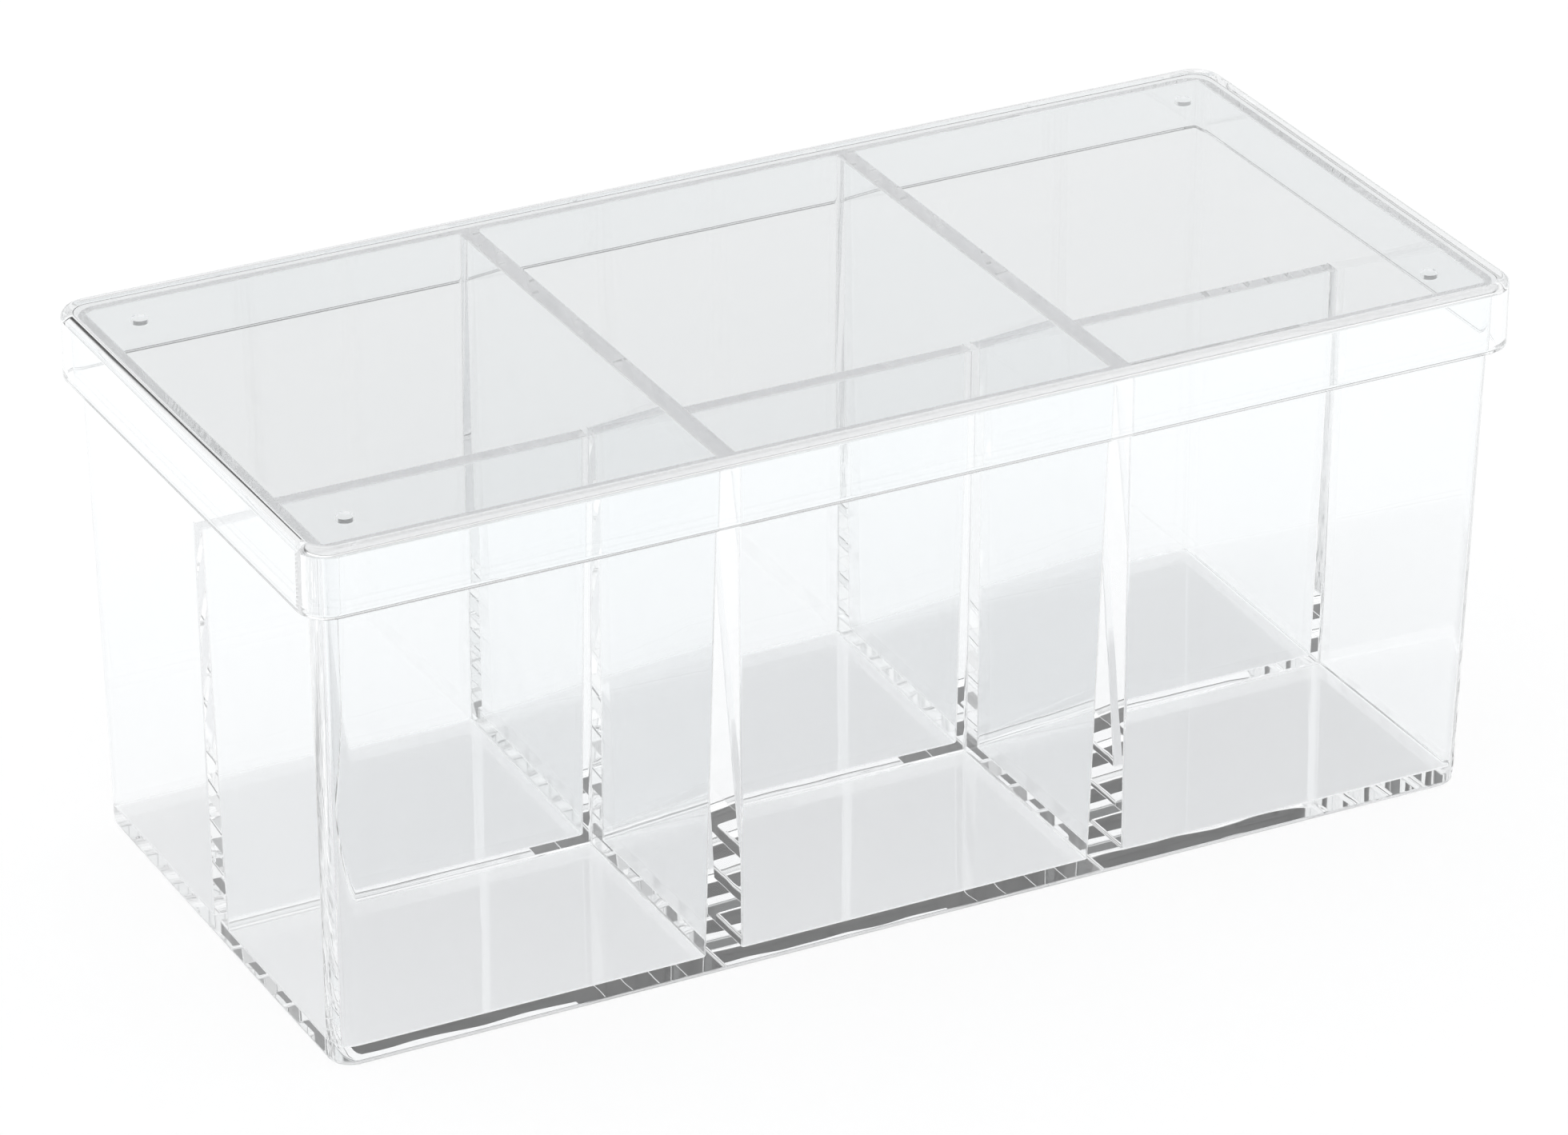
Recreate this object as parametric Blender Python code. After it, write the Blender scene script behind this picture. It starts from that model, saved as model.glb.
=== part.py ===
"""Clear card storage box: a moulded tub with six wells, and a lift-off lid.

The box is two mouldings. The tub has tapered outer walls, a flat base, two cross
dividers as tall as its rim and a lower lengthwise divider. The lid is a flat plate
with a straight skirt that drops over the outside of the tub. The dividers are shaped
by the same six well cores that form the inside of a real moulding, so they thicken
steadily towards the floor, their corners are nearly sharp, and their top edges are
rounded. They stand in the tub as solids of their own, each a hairline short of it.

Units are metres, +Z is up. The origin is the middle of the base, X runs along the
length of the box and -Y is its front.
"""

import math

import bmesh
import bpy
from mathutils import Matrix, Vector

# Overall size, closed
LID_LENGTH = 0.2290
LID_WIDTH = 0.1080
BOX_HEIGHT = 0.0997

# Lid
LID_PLATE = 0.0020
LID_CORNER_RADIUS = 0.0058
LID_EDGE_RADIUS = 0.0015
SKIRT_DEPTH = 0.0129
SKIRT_WALL = 0.0020
SKIRT_LIP_RADIUS = 0.0006
SKIRT_ROOT_RADIUS = 0.0004
PIP_RADIUS = 0.0015
PIP_HEIGHT = 0.0008
PIP_SETBACK = 0.0117

# Fit of the lid on the tub
LID_CLEARANCE = 0.0006
SEAT_GAP = 0.0003

# Tub
TUB_WALL = 0.0020
WALL_GAIN = 0.0003
TUB_FLOOR = 0.0034
FOOT_TAPER = 0.0019
CORNER_EASE = 0.0013
BASE_EDGE_RADIUS = 0.0015
RIM_EDGE_RADIUS = 0.0004
WELL_CORNER_RADIUS = 0.0005
WELL_FLOOR_RADIUS = 0.0005
FLOOR_CORNER_SHARE = 0.4

# Dividers
CROSS_SPACING = 0.0745
CROSS_TOP_THICKNESS = 0.0035
CROSS_FOOT_THICKNESS = 0.0069
LENGTHWISE_DROP = 0.0172
LENGTHWISE_TOP_THICKNESS = 0.0030
LENGTHWISE_FOOT_THICKNESS = 0.0058
STUB_LENGTH = 0.0006
SEAM = 0.0003

# How far cutters and trimming blocks run past what they cut
OVERRUN = 0.0010

# Facets
CORNER_STEPS = 8
EDGE_STEPS = 5
WELL_STEPS = 4
PIP_SIDES = 24
SMOOTH_ANGLE = math.radians(30)
RIGHT_ANGLE = math.pi / 2

# Places worked out from the sizes
RIM_HEIGHT = BOX_HEIGHT - LID_PLATE - SEAT_GAP
PLATE_UNDERSIDE = BOX_HEIGHT - LID_PLATE
SKIRT_BOTTOM = BOX_HEIGHT - SKIRT_DEPTH
RIM_INSET = SKIRT_WALL + LID_CLEARANCE
TUB_CORNER_RADIUS = LID_CORNER_RADIUS - RIM_INSET + CORNER_EASE
SHELL_CORNER_RADIUS = max(TUB_CORNER_RADIUS - 2 * TUB_WALL, WELL_CORNER_RADIUS)
LENGTHWISE_TOP = RIM_HEIGHT - LENGTHWISE_DROP
CROSS_REACH = CROSS_FOOT_THICKNESS / 2 + WELL_CORNER_RADIUS + STUB_LENGTH
LENGTHWISE_REACH = LENGTHWISE_FOOT_THICKNESS / 2 + WELL_CORNER_RADIUS + STUB_LENGTH
CROSS_PLACES = (-CROSS_SPACING / 2, CROSS_SPACING / 2)
CROSS_NAMES = ("cross_divider_left", "cross_divider_right")
LENGTHWISE_NAMES = (
    "lengthwise_divider_left",
    "lengthwise_divider_middle",
    "lengthwise_divider_right",
)
FRONT, BACK = -1, 1


def clear_scene():
    """Remove every object that the file already holds."""
    for item in list(bpy.data.objects):
        bpy.data.objects.remove(item, do_unlink=True)


def clear_plastic(name, tint, roughness):
    """Water-clear moulded plastic with a faint tint."""
    material = bpy.data.materials.new(name)
    material.use_nodes = True
    shader = material.node_tree.nodes["Principled BSDF"]
    shader.inputs["Base Color"].default_value = (*tint, 1)
    shader.inputs["Roughness"].default_value = roughness
    shader.inputs["Metallic"].default_value = 0
    shader.inputs["Transmission Weight"].default_value = 1
    shader.inputs["IOR"].default_value = 1.57
    return material


# Outlines and lofts


def quarter_round(radius, steps=EDGE_STEPS):
    """Pairs (inset, rise) along a rounded edge, from its flat face to its side."""
    angles = [RIGHT_ANGLE * step / steps for step in range(steps + 1)]
    return [(radius * (1 - math.sin(a)), radius * (1 - math.cos(a))) for a in angles]


def rounded_rectangle(low_x, high_x, low_y, high_y, radius, steps):
    """Points of a rectangle with round corners, anticlockwise from its +X side."""
    corners = (
        (high_x - radius, high_y - radius),
        (low_x + radius, high_y - radius),
        (low_x + radius, low_y + radius),
        (high_x - radius, low_y + radius),
    )
    points = []
    for turn, (centre_x, centre_y) in enumerate(corners):
        for step in range(steps + 1):
            angle = RIGHT_ANGLE * (turn + step / steps)
            points.append((centre_x + radius * math.cos(angle), centre_y + radius * math.sin(angle)))
    return points


def mesh_object(name, bm):
    """Turn a finished bmesh into an object in the scene."""
    bmesh.ops.recalc_face_normals(bm, faces=bm.faces[:])
    mesh = bpy.data.meshes.new(name)
    bm.to_mesh(mesh)
    bm.free()
    item = bpy.data.objects.new(name, mesh)
    bpy.context.collection.objects.link(item)
    return item


def loft(name, sections, steps=CORNER_STEPS):
    """Closed solid through rounded rectangles, each ((bounds), radius, height)."""
    bm = bmesh.new()
    rings = []
    for bounds, radius, height in sections:
        outline = rounded_rectangle(*bounds, radius, steps)
        rings.append([bm.verts.new((x, y, height)) for x, y in outline])
    count = len(rings[0])
    for below, above in zip(rings, rings[1:]):
        for index in range(count):
            following = (index + 1) % count
            bm.faces.new((below[index], below[following], above[following], above[index]))
    bm.faces.new(rings[0])
    bm.faces.new(rings[-1])
    return mesh_object(name, bm)


def block(name, low, high):
    """Plain box between two corners."""
    bm = bmesh.new()
    size = Vector(high) - Vector(low)
    middle = (Vector(high) + Vector(low)) / 2
    bmesh.ops.create_cube(bm, size=1, matrix=Matrix.LocRotScale(middle, None, size))
    return mesh_object(name, bm)


def combine(target, operand, operation):
    """Apply one exact Boolean to the target and remove the operand."""
    modifier = target.modifiers.new(operand.name, "BOOLEAN")
    modifier.object = operand
    modifier.operation = operation
    modifier.solver = "EXACT"
    graph = bpy.context.evaluated_depsgraph_get()
    result = bpy.data.meshes.new_from_object(target.evaluated_get(graph))
    target.modifiers.clear()
    target.data = result
    bpy.data.objects.remove(operand, do_unlink=True)


def finish(item, origin, material):
    """Set the object's origin, shading and material."""
    item.data.transform(Matrix.Translation(-origin))
    item.location = origin
    item.data.shade_smooth()
    item.data.set_sharp_from_angle(angle=SMOOTH_ANGLE)
    item.data.materials.clear()
    item.data.materials.append(material)
    return item


# Faces of the tub and its dividers at a height


def between(height, at_base, at_rim):
    """Value at a height on a face that runs straight from the base to the rim."""
    return at_base + (at_rim - at_base) * height / RIM_HEIGHT


def outer_half(height, side):
    """Half of the tub's outer length or width at a height."""
    at_rim = side / 2 - RIM_INSET
    return between(height, at_rim - FOOT_TAPER, at_rim)


def inner_half(height, side):
    """Half of the tub's inner length or width at a height."""
    return outer_half(height, side) - between(height, TUB_WALL + WALL_GAIN, TUB_WALL)


def cross_half(height):
    """Half of a cross divider's thickness at a height."""
    return between(height, CROSS_FOOT_THICKNESS, CROSS_TOP_THICKNESS) / 2


def lengthwise_half(height):
    """Half of the lengthwise divider's thickness at a height."""
    gain = LENGTHWISE_FOOT_THICKNESS - LENGTHWISE_TOP_THICKNESS
    return (LENGTHWISE_FOOT_THICKNESS - gain * height / LENGTHWISE_TOP) / 2


def centred_bounds(half_x, half_y, inset):
    """Bounds of a rectangle centred on the origin, drawn in all round."""
    return (-half_x + inset, half_x - inset, -half_y + inset, half_y - inset)


def spread(bounds, outset):
    """Bounds grown by the same amount on all four sides."""
    low_x, high_x, low_y, high_y = bounds
    return (low_x - outset, high_x + outset, low_y - outset, high_y + outset)


# Tub


def tub_sections():
    """Outside of the tub, from the rounded base edge to the rounded rim."""
    sections = []
    for inset, rise in quarter_round(BASE_EDGE_RADIUS):
        halves = outer_half(rise, LID_LENGTH), outer_half(rise, LID_WIDTH)
        radius = TUB_CORNER_RADIUS - inset
        sections.append((centred_bounds(*halves, inset), radius, rise))
    for inset, rise in reversed(quarter_round(RIM_EDGE_RADIUS)):
        height = RIM_HEIGHT - rise
        halves = outer_half(height, LID_LENGTH), outer_half(height, LID_WIDTH)
        radius = TUB_CORNER_RADIUS - inset
        sections.append((centred_bounds(*halves, inset), radius, height))
    return sections


def floor_sections(bounds_at, corner_radius, gap=0):
    """Foot of a hollow, from its flat floor to the end of the rounded floor edge.

    bounds_at gives the hollow's bounds at a height, and gap keeps it that far
    inside them, so that the same function makes a filling that clears the hollow.
    The upright corners get tighter towards the floor.
    """
    sections = []
    edge_radius = WELL_FLOOR_RADIUS - gap
    for inset, rise in quarter_round(edge_radius, WELL_STEPS):
        height = TUB_FLOOR + gap + rise
        bounds = spread(bounds_at(height), -gap - inset)
        share = 1 - (1 - FLOOR_CORNER_SHARE) * inset / edge_radius
        sections.append((bounds, (corner_radius - gap) * share, height))
    return sections


def tub_hollow_bounds(height):
    """Bounds of the space between the tub's four walls."""
    return centred_bounds(inner_half(height, LID_LENGTH), inner_half(height, LID_WIDTH), 0)


def mouth_sections(bounds_at, corner_radius):
    """Top of a hollow: its mouth opens out round the rim's inner edge."""
    sections = []
    for outset, rise in reversed(quarter_round(RIM_EDGE_RADIUS)):
        height = RIM_HEIGHT - rise
        bounds = spread(bounds_at(height), outset)
        sections.append((bounds, corner_radius, height))
    top_bounds, top_radius, top_height = sections[-1]
    sections.append((top_bounds, top_radius, top_height + OVERRUN))
    return sections


def make_tub(material):
    """Four tapered walls and a flat floor, open at the top."""
    tub = loft("tub", tub_sections())
    sections = floor_sections(tub_hollow_bounds, SHELL_CORNER_RADIUS)
    sections += mouth_sections(tub_hollow_bounds, SHELL_CORNER_RADIUS)
    combine(tub, loft("tub_hollow", sections, WELL_STEPS), "DIFFERENCE")
    return finish(tub, Vector((0, 0, 0)), material)


# Wells and dividers


def column_sides(column, height):
    """Low and high X of a column of wells at a height."""
    wall = inner_half(height, LID_LENGTH)
    faces = [-wall]
    for place in CROSS_PLACES:
        faces += [place - cross_half(height), place + cross_half(height)]
    faces.append(wall)
    return faces[2 * column], faces[2 * column + 1]


def row_sides(row, height):
    """Low and high Y of a front or back well beside the lengthwise divider."""
    wall = inner_half(height, LID_WIDTH)
    near = lengthwise_half(height)
    return (-wall, -near) if row == FRONT else (near, wall)


def well_core(column, row):
    """Solid that fills one well up to the top of the lengthwise divider.

    Its side at that divider opens out round the divider's top edge. Its last part
    runs up into the space above, drawn in so that it stays inside the upper core.
    """
    def bounds_at(height):
        return (*column_sides(column, height), *row_sides(row, height))

    sections = floor_sections(bounds_at, WELL_CORNER_RADIUS)
    for outset, rise in reversed(quarter_round(RIM_EDGE_RADIUS)):
        height = LENGTHWISE_TOP - rise
        low_x, high_x, low_y, high_y = bounds_at(height)
        if row == FRONT:
            high_y += outset
        else:
            low_y -= outset
        sections.append(((low_x, high_x, low_y, high_y), WELL_CORNER_RADIUS, height))
    top_bounds, radius, height = sections[-1]
    sections.append((spread(top_bounds, -SEAM), radius, height + OVERRUN))
    return loft("well_core", sections, WELL_STEPS)


def upper_core(column):
    """Solid that fills the space over a column's lengthwise divider, past the rim."""
    def bounds_at(height):
        wall = inner_half(height, LID_WIDTH)
        return (*column_sides(column, height), -wall, wall)

    start = (bounds_at(LENGTHWISE_TOP), WELL_CORNER_RADIUS, LENGTHWISE_TOP)
    sections = [start] + mouth_sections(bounds_at, WELL_CORNER_RADIUS)
    return loft("upper_core", sections, WELL_STEPS)


def cut_column(item, column):
    """Take a column's two wells, and the space over its divider, out of a piece."""
    for row in (FRONT, BACK):
        combine(item, well_core(column, row), "DIFFERENCE")
    combine(item, upper_core(column), "DIFFERENCE")


def trim_to_tub(item):
    """Keep only what lies inside the tub's hollow, a seam short of its walls."""
    sections = floor_sections(tub_hollow_bounds, SHELL_CORNER_RADIUS, SEAM)
    top = spread(tub_hollow_bounds(RIM_HEIGHT), -SEAM)
    sections.append((top, SHELL_CORNER_RADIUS - SEAM, RIM_HEIGHT))
    combine(item, loft("tub_filling", sections, WELL_STEPS), "INTERSECT")


def make_cross_divider(name, place, columns, material):
    """Full-height divider from the front wall to the back wall.

    It carries the four short stubs where the lengthwise divider joins its faces.
    """
    wall = LID_WIDTH / 2
    low = (place - CROSS_REACH, -wall, 0)
    high = (place + CROSS_REACH, wall, BOX_HEIGHT)
    divider = block(name, low, high)
    trim_to_tub(divider)
    for column in columns:
        cut_column(divider, column)
    return finish(divider, Vector((place, 0, TUB_FLOOR + SEAM)), material)


def make_lengthwise_divider(name, column, low_x, high_x, material):
    """One column's share of the low divider that parts the front wells from the back."""
    low = (low_x, -LENGTHWISE_REACH, 0)
    high = (high_x, LENGTHWISE_REACH, BOX_HEIGHT)
    divider = block(name, low, high)
    trim_to_tub(divider)
    cut_column(divider, column)
    origin = Vector(((low_x + high_x) / 2, 0, TUB_FLOOR + SEAM))
    return finish(divider, origin, material)


# Lid


def lid_sections():
    """Outside of the lid, from the skirt's rounded lip to the rounded top edge."""
    half_length, half_width = LID_LENGTH / 2, LID_WIDTH / 2
    sections = []
    for inset, rise in quarter_round(SKIRT_LIP_RADIUS):
        bounds = centred_bounds(half_length, half_width, inset)
        sections.append((bounds, LID_CORNER_RADIUS - inset, SKIRT_BOTTOM + rise))
    for inset, rise in reversed(quarter_round(LID_EDGE_RADIUS)):
        bounds = centred_bounds(half_length, half_width, inset)
        sections.append((bounds, LID_CORNER_RADIUS - inset, BOX_HEIGHT - rise))
    return sections


def lid_hollow_sections():
    """Inside of the lid, from below the skirt's lip to the plate's underside."""
    half_length, half_width = LID_LENGTH / 2 - SKIRT_WALL, LID_WIDTH / 2 - SKIRT_WALL
    radius = LID_CORNER_RADIUS - SKIRT_WALL
    sections = []
    for outset, rise in quarter_round(SKIRT_LIP_RADIUS):
        bounds = centred_bounds(half_length, half_width, -outset)
        sections.append((bounds, radius + outset, SKIRT_BOTTOM + rise))
    bounds, mouth_radius, height = sections[0]
    sections.insert(0, (bounds, mouth_radius, height - OVERRUN))
    for inset, rise in reversed(quarter_round(SKIRT_ROOT_RADIUS)):
        bounds = centred_bounds(half_length, half_width, inset)
        sections.append((bounds, radius - inset, PLATE_UNDERSIDE - rise))
    return sections


def pip(place_x, place_y):
    """Low round witness mark under the lid's plate."""
    bm = bmesh.new()
    depth = PIP_HEIGHT + LID_PLATE / 2
    middle = Vector((place_x, place_y, PLATE_UNDERSIDE - PIP_HEIGHT + depth / 2))
    bmesh.ops.create_cone(
        bm,
        cap_ends=True,
        segments=PIP_SIDES,
        radius1=PIP_RADIUS,
        radius2=PIP_RADIUS,
        depth=depth,
        matrix=Matrix.Translation(middle),
    )
    return mesh_object("lid_pip", bm)


def make_lid(material):
    """Flat plate with a straight skirt round it, open below."""
    lid = loft("lid", lid_sections())
    combine(lid, loft("lid_hollow", lid_hollow_sections()), "DIFFERENCE")
    for side_x in (-1, 1):
        for side_y in (-1, 1):
            place_x = side_x * (LID_LENGTH / 2 - PIP_SETBACK)
            place_y = side_y * (LID_WIDTH / 2 - PIP_SETBACK)
            combine(lid, pip(place_x, place_y), "UNION")
    return finish(lid, Vector((0, 0, PLATE_UNDERSIDE)), material)


def main():
    """Build every piece and hang it on the tub."""
    clear_scene()
    tub = make_tub(clear_plastic("tub_plastic", (0.93, 0.96, 0.96), 0.04))

    pieces = []
    for index, (name, place) in enumerate(zip(CROSS_NAMES, CROSS_PLACES)):
        plastic = clear_plastic(name + "_plastic", (0.92, 0.95, 0.95), 0.04)
        pieces.append(make_cross_divider(name, place, (index, index + 1), plastic))

    wall = LID_LENGTH / 2
    standoff = CROSS_REACH + SEAM
    spans = (
        (-wall, CROSS_PLACES[0] - standoff),
        (CROSS_PLACES[0] + standoff, CROSS_PLACES[1] - standoff),
        (CROSS_PLACES[1] + standoff, wall),
    )
    for column, (name, span) in enumerate(zip(LENGTHWISE_NAMES, spans)):
        plastic = clear_plastic(name + "_plastic", (0.92, 0.95, 0.95), 0.04)
        pieces.append(make_lengthwise_divider(name, column, *span, plastic))

    pieces.append(make_lid(clear_plastic("lid_plastic", (0.94, 0.97, 0.97), 0.05)))
    for piece in pieces:
        piece.parent = tub


main()
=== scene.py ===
"""Looks of the clear card storage box: the tray with six wells, its lid and the studio.

The tray is one clear moulding, so one mesh stands for the tub and the five dividers
that the CAD keeps apart. The lid is another moulding and rides on its own body. Both
are cut with the same rounded cores as the real mouldings, because clear plastic shows
its shape by its rounded edges alone. Units are metres and +Z is up.
"""

import logging
import math
from dataclasses import dataclass, field
from enum import Enum
from typing import Any

import bmesh
import bpy
from mathutils import Matrix, Vector


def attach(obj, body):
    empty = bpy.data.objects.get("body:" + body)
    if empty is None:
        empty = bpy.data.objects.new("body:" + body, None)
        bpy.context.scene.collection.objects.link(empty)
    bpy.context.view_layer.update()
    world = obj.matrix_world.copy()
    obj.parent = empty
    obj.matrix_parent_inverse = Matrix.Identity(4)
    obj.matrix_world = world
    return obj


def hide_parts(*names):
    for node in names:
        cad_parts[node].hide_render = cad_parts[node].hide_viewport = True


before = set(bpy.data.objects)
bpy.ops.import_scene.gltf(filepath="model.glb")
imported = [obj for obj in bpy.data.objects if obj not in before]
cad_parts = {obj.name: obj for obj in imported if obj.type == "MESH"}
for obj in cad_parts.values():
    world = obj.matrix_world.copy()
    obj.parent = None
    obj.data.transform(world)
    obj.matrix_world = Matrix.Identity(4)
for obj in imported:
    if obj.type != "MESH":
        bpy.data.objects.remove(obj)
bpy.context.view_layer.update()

LOG = logging.getLogger("card_box")
RIGHT_ANGLE = math.pi / 2
ZENITH = 90.0
HALF_TURN = 180.0
SHARP_ANGLE = 30.0
FLAT_FACE_WEIGHT = 100
STEEPEST_REACH = 0.01
PLASTIC_BOUNCES = 300
OPEN_BOUNCES = 60

Span = tuple[float, float]
Place = tuple[float, float, float]
Colour = tuple[float, float, float]
Bounds = tuple[float, float, float, float]
Section = tuple[Bounds, float, float]


class Cut(Enum):
    """What one solid does to another."""

    JOIN = "UNION"
    REMOVE = "DIFFERENCE"


class Row(Enum):
    """Which side of the lengthwise divider a well is on."""

    FRONT = -1
    BACK = 1


# Node graphs


@dataclass(frozen=True)
class Wire:
    """One output socket, with arithmetic that adds nodes behind it."""

    graph: "Graph"
    socket: bpy.types.NodeSocket

    def __add__(self, other: "Wire | float") -> "Wire":
        """Sum of two values."""
        return self.graph.value("ADD", self, other)

    __radd__ = __add__

    def __sub__(self, other: "Wire | float") -> "Wire":
        """This value less the other."""
        return self.graph.value("SUBTRACT", self, other)

    def __rsub__(self, other: "Wire | float") -> "Wire":
        """The other value less this one."""
        return self.graph.value("SUBTRACT", other, self)

    def __mul__(self, other: "Wire | float") -> "Wire":
        """Product of two values."""
        return self.graph.value("MULTIPLY", self, other)

    __rmul__ = __mul__

    def __truediv__(self, other: "Wire | float") -> "Wire":
        """This value over the other."""
        return self.graph.value("DIVIDE", self, other)

    def __rtruediv__(self, other: "Wire | float") -> "Wire":
        """The other value over this one."""
        return self.graph.value("DIVIDE", other, self)

    def __pow__(self, other: "Wire | float") -> "Wire":
        """This value to a power."""
        return self.graph.value("POWER", self, other)

    def __rpow__(self, other: "Wire | float") -> "Wire":
        """The other value to the power of this one."""
        return self.graph.value("POWER", other, self)

    def __or__(self, other: "Wire | float") -> "Wire":
        """The larger of two values, so that either mask counts."""
        return self.graph.value("MAXIMUM", self, other)

    __ror__ = __or__

    def eased(self, low: float, high: float) -> "Wire":
        """Smooth rise from 0 where the value is low to 1 where it is high.

        Args:
            low: Value at which the rise starts.
            high: Value at which it ends.

        Returns:
            The eased mask.
        """
        return self.graph.node(
            "ShaderNodeMapRange",
            {"interpolation_type": "SMOOTHSTEP"},
            {"Value": self, "From Min": low, "From Max": high},
        )


class Graph:
    """Fills the node tree of one material or world."""

    def __init__(self, tree: bpy.types.NodeTree) -> None:
        """Start with an empty tree.

        Args:
            tree: The tree to fill.
        """
        self.tree = tree
        tree.nodes.clear()

    def node(
        self,
        kind: str,
        settings: dict[str, Any] | None = None,
        sockets: dict[str | int, Any] | None = None,
        output: str | int = 0,
    ) -> Wire:
        """Add one node, with its settings first and then its sockets.

        Args:
            kind: Blender's type name of the node.
            settings: Properties of the node by name.
            sockets: Values or wires by input name or number.
            output: Which output the wire starts at.

        Returns:
            The wire from that output.
        """
        made = self.tree.nodes.new(kind)
        for name, value in (settings or {}).items():
            setattr(made, name, value)
        for name, value in (sockets or {}).items():
            if isinstance(value, Wire):
                self.tree.links.new(value.socket, made.inputs[name])
            else:
                made.inputs[name].default_value = value
        return Wire(self, made.outputs[output])

    def value(self, operation: str, first: Wire | float, second: Wire | float) -> Wire:
        """Add a Math node on two values.

        Args:
            operation: Name of the sum.
            first: First value.
            second: Second value.

        Returns:
            The result.
        """
        return self.node("ShaderNodeMath", {"operation": operation}, {0: first, 1: second})

    def blend(self, low: Wire | Colour, high: Wire | Colour, share: Wire | float) -> Wire:
        """Mix two colours.

        Args:
            low: Colour where the share is 0.
            high: Colour where the share is 1.
            share: How much of the second colour shows.

        Returns:
            The mixed colour.
        """
        ends = [c if isinstance(c, Wire) else (*c, 1) for c in (low, high)]
        return self.node(
            "ShaderNodeMix", {"data_type": "RGBA"}, {0: share, 6: ends[0], 7: ends[1]}, 2
        )

    def either(self, usual: Wire, special: Wire, share: Wire | float) -> Wire:
        """Mix two shaders.

        Args:
            usual: Shader where the share is 0.
            special: Shader where the share is 1.
            share: How much of the second shader shows.

        Returns:
            The mixed shader.
        """
        return self.node("ShaderNodeMixShader", None, {0: share, 1: usual, 2: special})

    def path(self, kind: str) -> Wire:
        """Light Path's answer on one kind of ray."""
        return self.node("ShaderNodeLightPath", output=kind)

    def seen(self) -> Wire:
        """1 for rays that end in the picture straight, by a mirror or through plastic."""
        mirrored = self.path("Is Camera Ray") | self.path("Is Glossy Ray")
        return mirrored | self.path("Is Transmission Ray")

    def close(self, shader: Wire, kind: str = "ShaderNodeOutputMaterial") -> None:
        """Link the finished shader to the tree's output.

        Args:
            shader: The finished shader.
            kind: Type name of the output node.
        """
        end = self.tree.nodes.new(kind)
        self.tree.links.new(shader.socket, end.inputs["Surface"])


def new_graph(name: str) -> tuple[bpy.types.Material, Graph]:
    """Make a material with an empty graph.

    Args:
        name: The material's name.

    Returns:
        The material and its graph.
    """
    material = bpy.data.materials.new(name)
    material.use_nodes = True
    return material, Graph(material.node_tree)


# Finishes


@dataclass(frozen=True)
class ClearPlastic:
    """Polished, water-clear moulded plastic with faint flow marks and handling haze."""

    name: str
    tint: Colour = (0.992, 0.998, 1.0)
    deep_tint: Colour = (0.986, 0.994, 0.997)
    index: float = 1.57
    polish: float = 0.0
    haze: float = 0.002
    haze_size: float = 234.0
    haze_detail: float = 4.0
    haze_grain: float = 0.7
    haze_span: Span = (0.52, 0.80)
    flow_size: float = 26.0
    flow_detail: float = 2.0
    flow_swirl: float = 0.6
    flow_span: Span = (0.35, 0.75)
    wave_size: float = 120.0
    wave_depth: float = 0.000003
    lamp_share: Colour = (0.937, 0.937, 0.940)

    def make(self) -> bpy.types.Material:
        """Build the material.

        Returns:
            The finished material.
        """
        material, graph = new_graph(self.name)
        place = graph.node("ShaderNodeTexCoord", output="Object")
        flow = graph.node(
            "ShaderNodeTexNoise",
            None,
            {
                "Vector": place,
                "Scale": self.flow_size,
                "Detail": self.flow_detail,
                "Distortion": self.flow_swirl,
            },
        ).eased(*self.flow_span)
        marks = graph.node(
            "ShaderNodeTexNoise",
            None,
            {
                "Vector": place,
                "Scale": self.haze_size,
                "Detail": self.haze_detail,
                "Roughness": self.haze_grain,
            },
        ).eased(*self.haze_span)
        swell = graph.node(
            "ShaderNodeTexNoise", None, {"Vector": place, "Scale": self.wave_size, "Detail": 0.0}
        )
        wave = graph.node(
            "ShaderNodeBump", None, {"Strength": 1.0, "Distance": self.wave_depth, "Height": swell}
        )
        body = graph.node(
            "ShaderNodeBsdfPrincipled",
            None,
            {
                "Base Color": graph.blend(self.tint, self.deep_tint, flow),
                "Roughness": self.polish + self.haze * marks,
                "IOR": self.index,
                "Transmission Weight": 1.0,
                "Normal": wave,
            },
        )
        for kind in ("Is Diffuse Ray", "Is Shadow Ray"):
            open_to_lamps = graph.node(
                "ShaderNodeBsdfTransparent", None, {"Color": (*self.lamp_share, 1)}
            )
            body = graph.either(body, open_to_lamps, graph.path(kind))
        graph.close(body)
        return material


@dataclass(frozen=True)
class PaleFloor:
    """Plain white table top that still takes the box's soft shadow."""

    name: str = "pale_floor"
    colour: Colour = (0.955, 0.96, 0.965)
    grain_colour: Colour = (0.96, 0.965, 0.97)
    grain_size: float = 9.0
    grain_detail: float = 3.0
    roughness: float = 0.85
    sheen: float = 0.1
    glow_share: float = 0.35
    direct_glow_share: float = 0.75
    glow: float = 1.0

    def make(self) -> bpy.types.Material:
        """Build the material.

        Returns:
            The finished material.
        """
        material, graph = new_graph(self.name)
        place = graph.node("ShaderNodeTexCoord", output="Object")
        grain = graph.node(
            "ShaderNodeTexNoise",
            None,
            {"Vector": place, "Scale": self.grain_size, "Detail": self.grain_detail},
        )
        paper = graph.node(
            "ShaderNodeBsdfPrincipled",
            None,
            {
                "Base Color": graph.blend(self.colour, self.grain_colour, grain),
                "Roughness": self.roughness,
                "Specular IOR Level": self.sheen,
            },
        )
        light = graph.node("ShaderNodeEmission", None, {"Color": (1, 1, 1, 1), "Strength": self.glow})
        through = graph.seen() * self.glow_share
        direct = graph.path("Is Camera Ray") * self.direct_glow_share
        graph.close(graph.either(paper, light, through | direct))
        return material


# Shapes that the mouldings are cut from


@dataclass(frozen=True)
class Facets:
    """How finely round parts are drawn."""

    corner: int = 12
    edge: int = 8
    pip: int = 32


FACETS = Facets()


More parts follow.
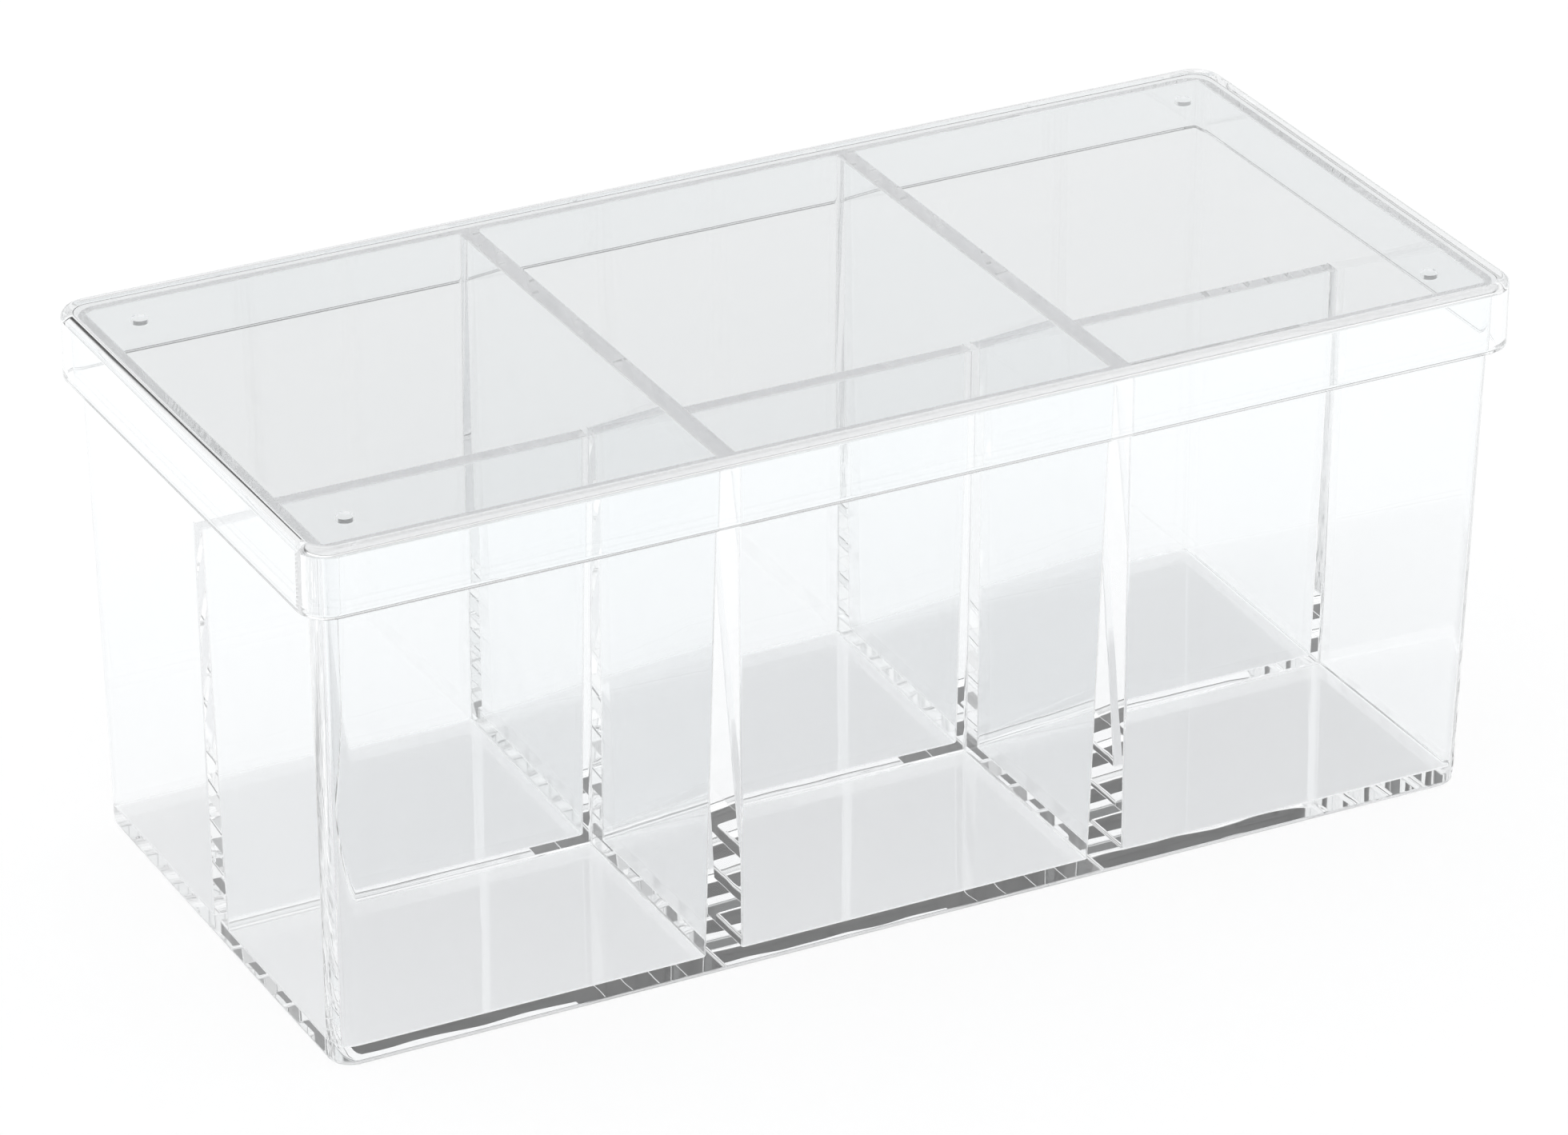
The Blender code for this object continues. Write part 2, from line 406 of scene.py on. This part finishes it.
def quarter_round(radius: float) -> list[tuple[float, float]]:
    """Follow a rounded edge from its flat face to its side.

    Args:
        radius: Radius of the edge.

    Returns:
        Pairs of inset and rise.
    """
    angles = [RIGHT_ANGLE * step / FACETS.edge for step in range(FACETS.edge + 1)]
    return [(radius * (1 - math.sin(a)), radius * (1 - math.cos(a))) for a in angles]


def rounded_rectangle(bounds: Bounds, radius: float) -> list[tuple[float, float]]:
    """Draw a rectangle with round corners.

    Args:
        bounds: Low and high X, low and high Y.
        radius: Radius of the corners.

    Returns:
        Its points, anticlockwise from the +X side.
    """
    low_x, high_x, low_y, high_y = bounds
    corners = (
        (high_x - radius, high_y - radius),
        (low_x + radius, high_y - radius),
        (low_x + radius, low_y + radius),
        (high_x - radius, low_y + radius),
    )
    points = []
    for turn, (x, y) in enumerate(corners):
        for step in range(FACETS.corner + 1):
            angle = RIGHT_ANGLE * (turn + step / FACETS.corner)
            points.append((x + radius * math.cos(angle), y + radius * math.sin(angle)))
    return points


def mesh_object(name: str, shape: bmesh.types.BMesh) -> bpy.types.Object:
    """Turn a finished bmesh into an object in the scene.

    Args:
        name: The object's name.
        shape: The mesh, which is freed.

    Returns:
        The new object.
    """
    bmesh.ops.recalc_face_normals(shape, faces=shape.faces[:])
    mesh = bpy.data.meshes.new(name)
    shape.to_mesh(mesh)
    shape.free()
    made = bpy.data.objects.new(name, mesh)
    bpy.context.scene.collection.objects.link(made)
    return made


def loft(name: str, sections: list[Section]) -> bpy.types.Object:
    """Make a closed solid through rounded rectangles.

    Args:
        name: The solid's name.
        sections: Bounds, corner radius and height of each, from the bottom up.

    Returns:
        The solid.
    """
    shape = bmesh.new()
    rings = []
    for bounds, radius, height in sections:
        rings.append([shape.verts.new((x, y, height)) for x, y in rounded_rectangle(bounds, radius)])
    count = len(rings[0])
    for below, above in zip(rings, rings[1:]):
        for index in range(count):
            following = (index + 1) % count
            shape.faces.new((below[index], below[following], above[following], above[index]))
    shape.faces.new(rings[0])
    shape.faces.new(rings[-1])
    return mesh_object(name, shape)


def combine(target: bpy.types.Object, tool: bpy.types.Object, cut: Cut) -> None:
    """Join a solid to another, or cut it out, and drop it.

    Args:
        target: The solid that changes.
        tool: The solid that is used up.
        cut: What the tool does.
    """
    modifier = target.modifiers.new(tool.name, "BOOLEAN")
    modifier.object = tool
    modifier.operation = cut.value
    modifier.solver = "EXACT"
    graph = bpy.context.evaluated_depsgraph_get()
    result = bpy.data.meshes.new_from_object(target.evaluated_get(graph))
    target.modifiers.clear()
    target.data = result
    bpy.data.objects.remove(tool, do_unlink=True)


def centred(half_x: float, half_y: float, inset: float = 0.0) -> Bounds:
    """Bounds of a rectangle round the origin, drawn in on all sides."""
    return (-half_x + inset, half_x - inset, -half_y + inset, half_y - inset)


def spread(bounds: Bounds, outset: float) -> Bounds:
    """Bounds grown by the same amount on all four sides."""
    low_x, high_x, low_y, high_y = bounds
    return (low_x - outset, high_x + outset, low_y - outset, high_y + outset)


def polish(piece: bpy.types.Object, finish: ClearPlastic) -> None:
    """Give a clear moulding flat faces that don't act as lenses, and its finish.

    Args:
        piece: The moulding.
        finish: Its plastic.
    """
    piece.data.shade_smooth()
    piece.data.set_sharp_from_angle(angle=math.radians(SHARP_ANGLE))
    flatten = piece.modifiers.new("flat_faces", "WEIGHTED_NORMAL")
    flatten.mode = "FACE_AREA"
    flatten.weight = FLAT_FACE_WEIGHT
    flatten.keep_sharp = True
    piece.data.materials.clear()
    piece.data.materials.append(finish.make())


def report(piece: bpy.types.Object) -> None:
    """Log a piece's name, size and faces."""
    size = " x ".join(f"{side * 1000:.1f}" for side in piece.dimensions)
    LOG.info("%s: %s mm, %d faces", piece.name, size, len(piece.data.polygons))


# Mouldings


@dataclass
class Tray:
    """Tub with its two cross dividers and its lower lengthwise divider, all one moulding."""

    rim_length: float = 0.2238
    rim_width: float = 0.1028
    rim_height: float = 0.0974
    foot_taper: float = 0.0019
    corner_radius: float = 0.0045
    base_radius: float = 0.0015
    wall: float = 0.0020
    wall_gain: float = 0.0003
    floor: float = 0.0034
    rim_radius: float = 0.0004
    well_corner_radius: float = 0.0005
    well_floor_radius: float = 0.0005
    floor_corner_share: float = 0.4
    cross_spacing: float = 0.0745
    cross_top: float = 0.0035
    cross_foot: float = 0.0069
    lengthwise_drop: float = 0.0172
    lengthwise_top: float = 0.0030
    lengthwise_foot: float = 0.0058
    overrun: float = 0.0010
    nip: float = 0.0003
    finish: ClearPlastic = field(
        default_factory=lambda: ClearPlastic("tray_plastic", wave_depth=0.000008)
    )

    def between(self, height: float, at_base: float, at_rim: float) -> float:
        """Value at a height on a face that runs straight from the base to the rim."""
        return at_base + (at_rim - at_base) * height / self.rim_height

    def outer_half(self, height: float, side: float) -> float:
        """Half of the outer length or width at a height."""
        return self.between(height, side / 2 - self.foot_taper, side / 2)

    def inner_half(self, height: float, side: float) -> float:
        """Half of the inner length or width at a height."""
        return self.outer_half(height, side) - self.between(height, self.wall + self.wall_gain, self.wall)

    def cross_half(self, height: float) -> float:
        """Half of a cross divider's thickness at a height."""
        return self.between(height, self.cross_foot, self.cross_top) / 2

    def ridge(self) -> float:
        """Height of the lengthwise divider's top."""
        return self.rim_height - self.lengthwise_drop

    def lengthwise_half(self, height: float) -> float:
        """Half of the lengthwise divider's thickness at a height."""
        gain = self.lengthwise_foot - self.lengthwise_top
        return (self.lengthwise_foot - gain * height / self.ridge()) / 2

    def outside(self) -> bpy.types.Object:
        """Make the moulding's outside, solid.

        Returns:
            A block with a rounded base edge and a rounded rim.
        """
        rim = [(inset, self.rim_height - rise) for inset, rise in reversed(quarter_round(self.rim_radius))]
        sections: list[Section] = []
        for inset, height in quarter_round(self.base_radius) + rim:
            halves = self.outer_half(height, self.rim_length), self.outer_half(height, self.rim_width)
            sections.append((centred(*halves, inset), self.corner_radius - inset, height))
        return loft("tray", sections)

    def column_sides(self, column: int, height: float) -> tuple[float, float]:
        """Find a column of wells.

        Args:
            column: 0 at the left, 2 at the right.
            height: Height of the cut.

        Returns:
            Its low and high X.
        """
        wall = self.inner_half(height, self.rim_length)
        faces = [-wall]
        for place in (-self.cross_spacing / 2, self.cross_spacing / 2):
            faces += [place - self.cross_half(height), place + self.cross_half(height)]
        faces.append(wall)
        return faces[2 * column], faces[2 * column + 1]

    def well_core(self, column: int, row: Row) -> bpy.types.Object:
        """Make the core of one well, up to the top of the lengthwise divider.

        Args:
            column: 0 at the left, 2 at the right.
            row: Front or back.

        Returns:
            The core, which runs on a little into the space above.
        """

        def bounds_at(height: float) -> Bounds:
            """Bounds of the well at a height."""
            wall = self.inner_half(height, self.rim_width)
            near = self.lengthwise_half(height)
            sides = (-wall, -near) if row is Row.FRONT else (near, wall)
            return (*self.column_sides(column, height), *sides)

        sections: list[Section] = []
        for inset, rise in quarter_round(self.well_floor_radius):
            height = self.floor + rise
            loss = (1 - self.floor_corner_share) * inset / self.well_floor_radius
            radius = self.well_corner_radius * (1 - loss)
            sections.append((spread(bounds_at(height), -inset), radius, height))
        for outset, rise in reversed(quarter_round(self.rim_radius)):
            height = self.ridge() - rise
            low_x, high_x, low_y, high_y = bounds_at(height)
            if row is Row.FRONT:
                high_y += outset
            else:
                low_y -= outset
            sections.append(((low_x, high_x, low_y, high_y), self.well_corner_radius, height))
        bounds, radius, height = sections[-1]
        sections.append((spread(bounds, -self.nip), radius, height + self.overrun))
        return loft("well_core", sections)

    def upper_core(self, column: int) -> bpy.types.Object:
        """Make the core over a column's lengthwise divider.

        Args:
            column: 0 at the left, 2 at the right.

        Returns:
            The core, which runs past the rim and rounds it over.
        """

        def bounds_at(height: float) -> Bounds:
            """Bounds of the space at a height."""
            wall = self.inner_half(height, self.rim_width)
            return (*self.column_sides(column, height), -wall, wall)

        sections: list[Section] = [(bounds_at(self.ridge()), self.well_corner_radius, self.ridge())]
        for outset, rise in reversed(quarter_round(self.rim_radius)):
            height = self.rim_height - rise
            sections.append((spread(bounds_at(height), outset), self.well_corner_radius, height))
        bounds, radius, height = sections[-1]
        sections.append((bounds, radius, height + self.overrun))
        return loft("upper_core", sections)

    def build(self) -> bpy.types.Object:
        """Cut the six wells out of the block and dress it.

        Returns:
            The tray, riding on the tub.
        """
        tray = self.outside()
        for column in range(3):
            for row in Row:
                combine(tray, self.well_core(column, row), Cut.REMOVE)
            combine(tray, self.upper_core(column), Cut.REMOVE)
        polish(tray, self.finish)
        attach(tray, "tub")
        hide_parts(*[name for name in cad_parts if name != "lid"])
        return tray


@dataclass
class Lid:
    """Flat plate with a skirt that drops over the tray's rim."""

    length: float = 0.2290
    width: float = 0.1080
    top: float = 0.0997
    plate: float = 0.0020
    corner_radius: float = 0.0058
    edge_radius: float = 0.0015
    skirt_depth: float = 0.0129
    skirt_wall: float = 0.0020
    lip_radius: float = 0.0006
    root_radius: float = 0.0004
    pip_radius: float = 0.0015
    pip_height: float = 0.0008
    pip_setback: float = 0.0117
    overrun: float = 0.0010
    finish: ClearPlastic = field(default_factory=lambda: ClearPlastic("lid_plastic"))

    def outside(self) -> bpy.types.Object:
        """Make the lid's outside, solid.

        Returns:
            A block with a rounded lip below and a rounded edge above.
        """
        lip = self.top - self.skirt_depth
        foot = [(inset, lip + rise) for inset, rise in quarter_round(self.lip_radius)]
        head = [(inset, self.top - rise) for inset, rise in reversed(quarter_round(self.edge_radius))]
        sections: list[Section] = []
        for inset, height in foot + head:
            bounds = centred(self.length / 2, self.width / 2, inset)
            sections.append((bounds, self.corner_radius - inset, height))
        return loft("lid_shell", sections)

    def core(self) -> bpy.types.Object:
        """Make the core that hollows the lid from below.

        Returns:
            The core, which runs past the skirt's lip.
        """
        half_x, half_y = self.length / 2 - self.skirt_wall, self.width / 2 - self.skirt_wall
        radius = self.corner_radius - self.skirt_wall
        lip = self.top - self.skirt_depth
        flare = self.lip_radius
        sections: list[Section] = [(centred(half_x, half_y, -flare), radius + flare, lip - self.overrun)]
        for outset, rise in quarter_round(self.lip_radius):
            sections.append((centred(half_x, half_y, -outset), radius + outset, lip + rise))
        for inset, rise in reversed(quarter_round(self.root_radius)):
            height = self.top - self.plate - rise
            sections.append((centred(half_x, half_y, inset), radius - inset, height))
        return loft("lid_core", sections)

    def pip(self, side_x: int, side_y: int) -> bpy.types.Object:
        """Make one low round mark under the plate.

        Args:
            side_x: -1 for the left pair, 1 for the right pair.
            side_y: -1 for the front pair, 1 for the back pair.

        Returns:
            The mark, which reaches up into the plate.
        """
        shape = bmesh.new()
        depth = self.pip_height + self.plate / 2
        middle = Vector((
            side_x * (self.length / 2 - self.pip_setback),
            side_y * (self.width / 2 - self.pip_setback),
            self.top - self.plate - self.pip_height + depth / 2,
        ))
        bmesh.ops.create_cone(
            shape,
            cap_ends=True,
            segments=FACETS.pip,
            radius1=self.pip_radius,
            radius2=self.pip_radius,
            depth=depth,
            matrix=Matrix.Translation(middle),
        )
        return mesh_object("lid_pip", shape)

    def build(self) -> bpy.types.Object:
        """Hollow the block, add the four marks and dress it.

        Returns:
            The lid, riding on its own body.
        """
        lid = self.outside()
        combine(lid, self.core(), Cut.REMOVE)
        for side_x in (-1, 1):
            for side_y in (-1, 1):
                combine(lid, self.pip(side_x, side_y), Cut.JOIN)
        polish(lid, self.finish)
        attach(lid, "lid")
        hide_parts("lid")
        return lid


# Studio


@dataclass(frozen=True)
class Card:
    """Part of the surround with a brightness of its own and soft borders.

    Angles are in degrees. Azimuth 0 is behind the box, 90 to its right.
    """

    azimuth: float
    half_width: float
    low: float
    high: float
    level: float
    softness: float = 5.0

    def mask(self, graph: Graph, facing: Wire, rise: Wire, reach: Wire) -> Wire:
        """Find where the card is.

        Args:
            graph: The world's graph.
            facing: Direction of the ray.
            rise: Sine of the ray's elevation.
            reach: Cosine of the ray's elevation, never quite 0.

        Returns:
            1 on the card, 0 off it.
        """
        low, high = (
            [math.sin(math.radians(border + s * self.softness)) for s in (-1, 1)]
            for border in (self.low, self.high)
        )
        mask = rise.eased(*low)
        if self.high < ZENITH:
            mask = mask * (1 - rise.eased(*high))
        if self.half_width < HALF_TURN:
            turn = math.radians(self.azimuth)
            aim = (math.sin(turn), math.cos(turn), 0.0)
            along = graph.node(
                "ShaderNodeVectorMath", {"operation": "DOT_PRODUCT"}, {0: facing, 1: aim}, "Value"
            )
            edge = [math.cos(math.radians(self.half_width + s * self.softness)) for s in (1, -1)]
            mask = mask * (along / reach).eased(*edge)
        return mask


CARDS = {
    "horizon": Card(azimuth=0, half_width=180, low=-1, high=7, level=0.03, softness=1.5),
    "back_foot": Card(azimuth=20, half_width=48, low=9, high=21, level=0.62),
    "back": Card(azimuth=12, half_width=50, low=22, high=35, level=0.12),
    "back_light": Card(azimuth=50, half_width=30, low=40, high=60, level=1.10),
    "room": Card(azimuth=212, half_width=92, low=10, high=38, level=0.20),
    "right_window": Card(azimuth=152, half_width=9, low=20, high=42, level=0.95, softness=4),
    "left_window": Card(azimuth=230, half_width=38, low=20, high=42, level=0.95, softness=4),
    "ceiling": Card(azimuth=0, half_width=180, low=66, high=90, level=0.62),
    "right_ceiling": Card(azimuth=90, half_width=50, low=64, high=82, level=0.25),
}


@dataclass
class Studio:
    """White table, pale surround with cards, and a soft lamp."""

    table_size: float = 8.0
    table_squares: int = 8
    table_drop: float = 0.0002
    floor: PaleFloor = field(default_factory=PaleFloor)
    pale: float = 0.95
    cards: dict[str, Card] = field(default_factory=lambda: dict(CARDS))
    lamp_place: Place = (-0.4, 0.6, 1.6)
    lamp_aim: Place = (0.0, 0.0, 0.05)
    lamp_size: float = 1.5
    lamp_power: float = 4.5

    def lay_table(self) -> bpy.types.Object:
        """Lay the table top just under the box.

        Returns:
            The table top.
        """
        shape = bmesh.new()
        bmesh.ops.create_grid(
            shape,
            x_segments=self.table_squares,
            y_segments=self.table_squares,
            size=self.table_size / 2,
        )
        table = mesh_object("table_top", shape)
        table.location.z = -self.table_drop
        table.data.materials.append(self.floor.make())
        return table

    def surround(self) -> bpy.types.World:
        """Make the pale surround, with greyer cards that draw the plastic's edges.

        Returns:
            The world.
        """
        world = bpy.data.worlds.new("surround")
        world.use_nodes = True
        graph = Graph(world.node_tree)
        facing = graph.node("ShaderNodeTexCoord", output="Generated")
        rise = graph.node("ShaderNodeSeparateXYZ", None, {0: facing}, "Z")
        reach = (1 - rise * rise) ** 0.5 | STEEPEST_REACH
        colour: Wire | Colour = (self.pale,) * 3
        for card in self.cards.values():
            colour = graph.blend(colour, (card.level,) * 3, card.mask(graph, facing, rise, reach))
        plain = graph.path("Is Camera Ray") | graph.path("Is Diffuse Ray")
        colour = graph.blend(colour, (1, 1, 1), plain)
        light = graph.node("ShaderNodeBackground", None, {"Color": colour, "Strength": 1.0})
        graph.close(light, "ShaderNodeOutputWorld")
        bpy.context.scene.world = world
        return world

    def hang_lamp(self) -> bpy.types.Object:
        """Hang the soft lamp that points at the box.

        Returns:
            The lamp.
        """
        light = bpy.data.lights.new("overhead_softbox", "AREA")
        light.size = self.lamp_size
        light.energy = self.lamp_power
        lamp = bpy.data.objects.new("overhead_softbox", light)
        lamp.location = self.lamp_place
        aim = Vector(self.lamp_aim) - lamp.location
        lamp.rotation_euler = aim.to_track_quat("-Z", "Y").to_euler()
        bpy.context.scene.collection.objects.link(lamp)
        return lamp

    def build(self) -> None:
        """Set up the table, the surround and the lamp."""
        self.lay_table()
        self.surround()
        self.hang_lamp()


@dataclass
class PhotoCamera:
    """Camera at the photograph's place, found by fitting the box's edges."""

    azimuth: float = 27.465
    elevation: float = 26.985
    roll: float = 0.12278
    distance: float = 1.31883
    slide: float = -0.00070
    lift: float = 0.04143
    lens: float = 170.33
    film_width: float = 36.0
    farthest: float = 100.0

    def build(self) -> bpy.types.Object:
        """Place the camera and make it the scene's.

        Returns:
            The camera.
        """
        turn, tilt, roll = (math.radians(a) for a in (self.azimuth, self.elevation, self.roll))
        ahead = Vector((math.sin(turn) * math.cos(tilt), math.cos(turn) * math.cos(tilt), -math.sin(tilt)))
        right = Vector((math.cos(turn), -math.sin(turn), 0))
        up = right.cross(ahead)
        place = -ahead * self.distance + right * self.slide + up * self.lift
        level = math.cos(roll) * right + math.sin(roll) * up
        upright = math.cos(roll) * up - math.sin(roll) * right
        turned = Matrix((level, upright, -ahead)).transposed().to_4x4()
        data = bpy.data.cameras.new("photo_camera")
        data.sensor_width = self.film_width
        data.lens = self.lens
        data.clip_end = self.farthest
        camera = bpy.data.objects.new("photo_camera", data)
        camera.matrix_world = Matrix.Translation(place) @ turned
        bpy.context.scene.collection.objects.link(camera)
        bpy.context.scene.camera = camera
        return camera


def set_view() -> None:
    """Show colours as written, and let light cross the many clear walls."""
    scene = bpy.context.scene
    scene.view_settings.view_transform = "Standard"
    scene.cycles.max_bounces = PLASTIC_BOUNCES
    scene.cycles.transmission_bounces = PLASTIC_BOUNCES
    scene.cycles.glossy_bounces = PLASTIC_BOUNCES
    scene.cycles.transparent_max_bounces = OPEN_BOUNCES


def main() -> None:
    """Build the tray, the lid, the camera and the studio."""
    logging.basicConfig(level=logging.INFO, format="%(message)s")
    PhotoCamera().build()
    for moulding in (Tray(), Lid()):
        report(moulding.build())
    Studio().build()
    set_view()


if __name__ == "__main__":
    main()
